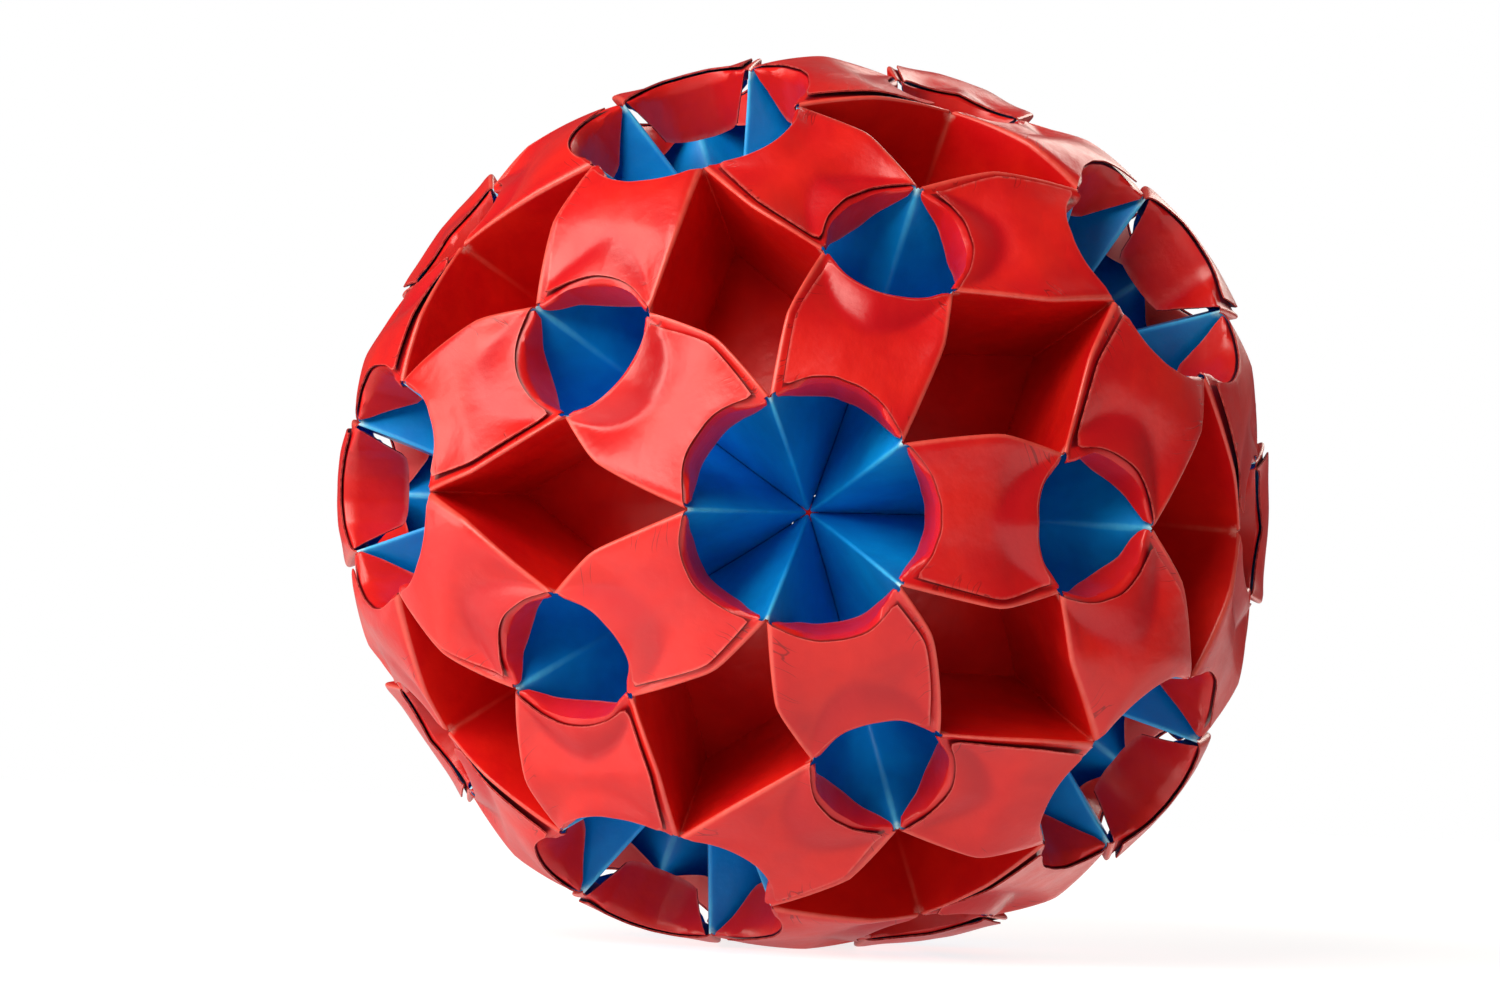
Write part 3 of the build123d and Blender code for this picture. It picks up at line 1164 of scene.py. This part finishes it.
@dataclass(frozen=True)
class PaperFace:
    """One face of the two-coloured paper."""

    name: str
    deep: Colour
    plain: Colour
    worn: Colour
    # rubbed paper with painted highlight along the folds
    fold: Colour
    # the dark of the crack lines, and painted shadow along a cover's edge
    crack_and_shadow_line: Colour
    # painted shade in a collar's bend
    shade: Colour
    roughness: float
    specular: float
    collar_shade_share: float = 0.9
    fold_wear_and_highlight_share: float = 0.85
    fray_share: float = 0.35
    slit_shadow_share: float = 0.85
    crack_share: float = 0.6
    streak_roughness: float = 0.1

    # Where each pattern or mark begins to show, and where it is full.
    blotch_span: Pair = (0.3, 0.72)
    crease_span: Pair = (0.3, 1.0)
    rubbed_span: Pair = (0.0, 1.25)
    worn_span: Pair = (0.25, 0.8)
    edge_span: Pair = (0.45, 1.0)
    streak_span: Pair = (0.25, 0.7)
    slit_span: Pair = (0.1, 0.9)
    patch_span: Pair = (0.46, 0.58)

    # A crack's half width, where it begins in from a fold and where it ends, both in millimetres.
    crack_line: Pair = (0.002, 0.010)
    crack_start: Pair = (0.15, 0.5)
    crack_end: Pair = (1.7, 3.4)

    # What is left where a pattern is 0, and what it adds.
    rubbed_mottle: Pair = (0.35, 0.9)
    worn_mottle: Pair = (0.4, 1.1)

    # Each bump's strength, and its depth in metres.
    tooth_bump: Pair = (0.22, 0.00006)
    crumple_bump: Pair = (0.35, 0.0006)
    crack_bump: Pair = (0.25, 0.0001)

    def make(self) -> bpy.types.Material:
        """Build the face's material.

        Returns:
            The material, with fibres, blotches, folds that are rubbed and lightened by painted highlight,
            painted shade in the collars' bends, a painted shadow line at a cover's edge, cracks and frayed
            edges.
        """
        bench = Bench(bpy.data.materials.new(self.name))
        streak = bench.noise(STREAK)
        # Rubbed paper and painted highlight along the folds.
        rubbed_and_highlight = bench.mark("crease").between(*self.crease_span) * streak.mottled(*self.rubbed_mottle)
        worn = bench.mark("worn") * bench.noise(RUBBING).mottled(*self.worn_mottle)
        frayed = bench.mark("edge").between(*self.edge_span) * streak.between(*self.streak_span)
        crack = self._cracks(bench)
        colour = bench.blend(bench.noise(BLOTCH).between(*self.blotch_span), self.deep, self.plain)
        # Painted shade in the collars' bends.
        colour = bench.blend(self.collar_shade_share * bench.mark("collar"), colour, self.shade)
        colour = bench.blend(self.fold_wear_and_highlight_share * rubbed_and_highlight.between(*self.rubbed_span), colour, self.fold)
        colour = bench.blend(worn.between(*self.worn_span), colour, self.worn)
        colour = bench.blend(self.fray_share * frayed, colour, self.worn)
        # A painted shadow line along a cover's edge.
        colour = bench.blend(self.slit_shadow_share * bench.mark("slit").between(*self.slit_span), colour, self.crack_and_shadow_line)
        colour = bench.blend(self.crack_share * crack, colour, self.crack_and_shadow_line)
        tooth = bench.bump(bench.noise(FIBRE), *self.tooth_bump)
        crumple = bench.bump(bench.noise(CRUMPLE), *self.crumple_bump, under=tooth)
        split = bench.bump(1.0 - crack, *self.crack_bump, under=crumple)
        return bench.finish(bench.node("ShaderNodeBsdfPrincipled", {}, {
            "Base Color": colour, "Roughness": self.roughness + self.streak_roughness * (streak - 0.5),
            "Specular IOR Level": self.specular, "Normal": split}))

    def _cracks(self, bench: Bench) -> Sock:
        """Draw the short cracks that run in from the folds.

        Args:
            bench: the material's nodes.

        Returns:
            The mark, 1 in a crack.
        """
        run, apart = bench.mark("run"), bench.mark("apart")
        swing = bench.noise(CRACK, bench.node("ShaderNodeCombineXYZ", {}, {"X": run, "Y": apart}))
        line = 1.0 - abs(swing - 0.5).between(*self.crack_line)
        patch = bench.noise(CRACKED_PATCH).between(*self.patch_span)
        near = apart.between(*self.crack_start) * (1.0 - apart.between(*self.crack_end))
        return line * patch * near


@dataclass(frozen=True)
class CutEdge:
    """The paper's cut edge, where its paler core shows."""

    name: str = "cut_paper_edge"
    pale: Colour = (0.62, 0.08, 0.07, 1)
    stained: Colour = (0.30, 0.01, 0.01, 1)
    roughness: float = 0.85
    specular: float = 0.2
    fray_span: Pair = (0.35, 0.65)
    fray_bump: Pair = (0.5, 0.0001)

    def make(self) -> bpy.types.Material:
        """Build the edge's material.

        Returns:
            The material, mottled and slightly rough.
        """
        bench = Bench(bpy.data.materials.new(self.name))
        fray = bench.noise(FRAY)
        colour = bench.blend(fray.between(*self.fray_span), self.stained, self.pale)
        return bench.finish(bench.node("ShaderNodeBsdfPrincipled", {}, {
            "Base Color": colour, "Roughness": self.roughness, "Specular IOR Level": self.specular,
            "Normal": bench.bump(fray, *self.fray_bump)}))


# Each face's fold colour is rubbed paper with painted highlight, its shade colour is painted shade, and its
# darkest colour is the crack lines and painted shadow.
RED_FACE = PaperFace(name="red_paper_face", deep=(0.66, 0.003, 0.005, 1), plain=(0.80, 0.012, 0.006, 1),
                     worn=(0.88, 0.32, 0.27, 1), fold=(0.88, 0.13, 0.09, 1), crack_and_shadow_line=(0.16, 0.001, 0.002, 1),
                     shade=(0.58, 0.0, 0.006, 1), roughness=0.33, specular=0.62)
BLUE_FACE = PaperFace(name="blue_paper_face", deep=(0.0, 0.24, 0.76, 1), plain=(0.0, 0.36, 0.94, 1),
                      worn=(0.45, 0.82, 0.97, 1), fold=(0.10, 0.66, 0.94, 1), crack_and_shadow_line=(0.0, 0.02, 0.10, 1),
                      shade=(0.0, 0.16, 0.55, 1), roughness=0.4, specular=0.4)


class PaperBall:
    """The whole ball: thirty sheets, each an object of its own."""

    turned_pairs = ((20, 23), (7, 12), (7, 15))
    sharp_angle = 50

    def __init__(self) -> None:
        """Lay the ball out and make its papers."""
        self.ball = BallSizes()
        self.folds = FoldSizes()
        self.plan = Plan()
        self.hand = Hand(self.plan, self.ball, self.folds)
        self.papers = [RED_FACE.make(), BLUE_FACE.make(), CutEdge().make()]

    def build(self) -> list[bpy.types.Object]:
        """Fold all the sheets, set the ball down and place them.

        Returns:
            The thirty sheets.
        """
        turned = {frozenset(pair) for pair in self.turned_pairs}
        meshes = [FoldedSheet(seat, self.plan, self.hand, self.ball, self.folds, MeshCounts(), turned).build()
                  for seat in self.plan.seats]
        self.hand.rest(meshes)
        made = []
        for seat, mesh in zip(self.plan.seats, meshes):
            piece = self._object(PIECE_NAME.format(seat.number), mesh)
            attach(piece, "root")
            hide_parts(NODE_NAME.format(seat.number))
            log.info("%s: %d faces", piece.name, len(piece.data.polygons))
            made.append(piece)
        return made

    def _object(self, name: str, mesh: SheetMesh) -> bpy.types.Object:
        """Turn a folded sheet into an object with the paper's real thickness.

        Args:
            name: the object's name.
            mesh: the folded sheet.

        Returns:
            The object, with red paper outside, blue paper inside and a cut edge.
        """
        data = bpy.data.meshes.new(name)
        points = self.hand.settle(mesh.points()) * MM
        data.from_pydata(points.tolist(), [], mesh.faces)
        for mark, values in mesh.marks.items():
            attribute = data.attributes.new(mark, "FLOAT", "POINT")
            attribute.data.foreach_set("value", np.concatenate(values).astype(np.float32))
        for paper in self.papers:
            data.materials.append(paper)
        data.shade_smooth()
        piece = bpy.data.objects.new(name, data)
        bpy.context.scene.collection.objects.link(piece)
        thick = piece.modifiers.new("paper_thickness", "SOLIDIFY")
        thick.thickness = self.ball.paper * MM
        thick.offset = 0.0
        thick.material_offset = 1
        thick.material_offset_rim = 2
        thick.use_quality_normals = True
        bpy.context.view_layer.update()
        evaluated = piece.evaluated_get(bpy.context.evaluated_depsgraph_get())
        solid = bpy.data.meshes.new_from_object(evaluated)
        piece.modifiers.clear()
        piece.data = solid
        bpy.data.meshes.remove(data)
        solid.name = name
        solid.set_sharp_from_angle(angle=math.radians(self.sharp_angle))
        return piece


@dataclass(frozen=True)
class Softbox:
    """One square soft light that faces the ball, in metres and watts."""

    name: str
    place: tuple[float, float, float]
    power: float
    side: float = 0.8
    colour: tuple[float, float, float] = (1.0, 0.92, 0.82)

    def hang(self, aim: Vector) -> None:
        """Hang the light.

        Args:
            aim: the point that it faces.
        """
        data = bpy.data.lights.new(self.name, "AREA")
        data.shape = "SQUARE"
        data.size = self.side
        data.energy = self.power
        data.color = self.colour
        lamp = bpy.data.objects.new(self.name, data)
        lamp.location = self.place
        lamp.rotation_euler = (aim - Vector(self.place)).to_track_quat("-Z", "Y").to_euler()
        bpy.context.scene.collection.objects.link(lamp)


@dataclass(frozen=True)
class Studio:
    """The table, the light and the camera of the photograph, in metres where nothing else is said."""

    softboxes: tuple[Softbox, ...] = (Softbox("key_softbox", (-0.52, -0.80, 0.80), 13.0),
                                      Softbox("left_softbox", (-1.15, -0.30, 0.45), 9.0),
                                      Softbox("back_softbox", (0.62, 1.10, 0.75), 9.0))
    ball_height: float = BallSizes().foot_height * MM
    seen_light: float = 1.0              # of the surroundings and the table, in the picture
    room_light: float = 0.09             # of the surroundings, on the ball
    table_light: float = 0.5             # of the table, on the ball
    table_grey: float = 0.5
    table_gloss: float = 0.2
    table_roughness: float = 0.08
    table: tuple[float, float, float] = (0.6, 1.3, 0.45)       # half its width, its front and its back
    camera_distance: float = 1.051
    sensor: float = 36.0                 # millimetres
    focal_length: float = 202.0          # millimetres
    roll: float = 2.45                   # degrees
    clipping: Pair = (0.05, 100.0)
    picture: Pair = (1500.0, 1000.0)     # the photograph's size, in its pixels
    middle: Pair = (804.0, 507.0)        # the ball's middle, in the same

    def build(self) -> None:
        """Put the ball on its table, under its light and before its camera."""
        aim = Vector((0, 0, self.ball_height))
        self._surroundings()
        self._table()
        for softbox in self.softboxes:
            softbox.hang(aim)
        self._camera(aim)

    def _surroundings(self) -> None:
        """Make the even white room, which the picture shows brighter than it lights the ball."""
        bench = Bench(bpy.data.worlds.new("white_room"))
        seen, lit = (bench.node("ShaderNodeBackground", {}, {"Color": WHITE, "Strength": strength})
                     for strength in (self.seen_light, self.room_light))
        path = bench.node("ShaderNodeLightPath", output="Is Camera Ray")
        mix = bench.node("ShaderNodeMixShader", {}, {0: path, 1: lit, 2: seen})
        bpy.context.scene.world = bench.finish(mix)
        bpy.context.scene.view_settings.view_transform = "Standard"

    def _table(self) -> None:
        """Make the white table top, with a weak reflection."""
        bench = Bench(bpy.data.materials.new("white_table"))
        seen, cast = (bench.node("ShaderNodeEmission", {}, {"Color": WHITE, "Strength": strength})
                      for strength in (self.seen_light, self.table_light))
        path = bench.node("ShaderNodeLightPath", output="Is Camera Ray")
        glow = bench.node("ShaderNodeMixShader", {}, {0: path, 1: cast, 2: seen})
        grey = (self.table_grey, self.table_grey, self.table_grey, 1)
        matte = bench.node("ShaderNodeBsdfDiffuse", {}, {"Color": grey})
        base = bench.node("ShaderNodeAddShader", {}, {0: glow, 1: matte})
        gloss = bench.node("ShaderNodeBsdfGlossy", {}, {"Color": WHITE, "Roughness": self.table_roughness})
        top = bench.node("ShaderNodeMixShader", {}, {0: self.table_gloss, 1: base, 2: gloss})
        data = bpy.data.meshes.new("table_top")
        half, front, back = self.table
        corners = [(-half, -front, 0), (half, -front, 0), (half, back, 0), (-half, back, 0)]
        data.from_pydata(corners, [], [(0, 1, 2, 3)])
        data.materials.append(bench.finish(top))
        table = bpy.data.objects.new("table_top", data)
        bpy.context.scene.collection.objects.link(table)

    def _camera(self, aim: Vector) -> None:
        """Set the camera up as the photograph was taken: far off, level and slightly rolled.

        Args:
            aim: the ball's middle.
        """
        data = bpy.data.cameras.new("camera")
        data.sensor_width = self.sensor
        data.lens = self.focal_length
        width, height = self.picture
        data.shift_x = -(self.middle[0] - width / 2) / width
        data.shift_y = (self.middle[1] - height / 2) / width
        data.clip_start, data.clip_end = self.clipping
        camera = bpy.data.objects.new("camera", data)
        place = Matrix.Translation(aim - Vector((0, self.camera_distance, 0)))
        level = Matrix.Rotation(math.radians(90), 4, "X")
        camera.matrix_world = place @ level @ Matrix.Rotation(math.radians(self.roll), 4, "Z")
        bpy.context.scene.collection.objects.link(camera)
        bpy.context.scene.camera = camera


def main() -> None:
    """Build the ball, then the studio round it."""
    logging.basicConfig(level=logging.INFO, format="%(message)s")
    pieces = PaperBall().build()
    log.info("%d sheets folded", len(pieces))
    Studio().build()


if __name__ == "__main__":
    main()
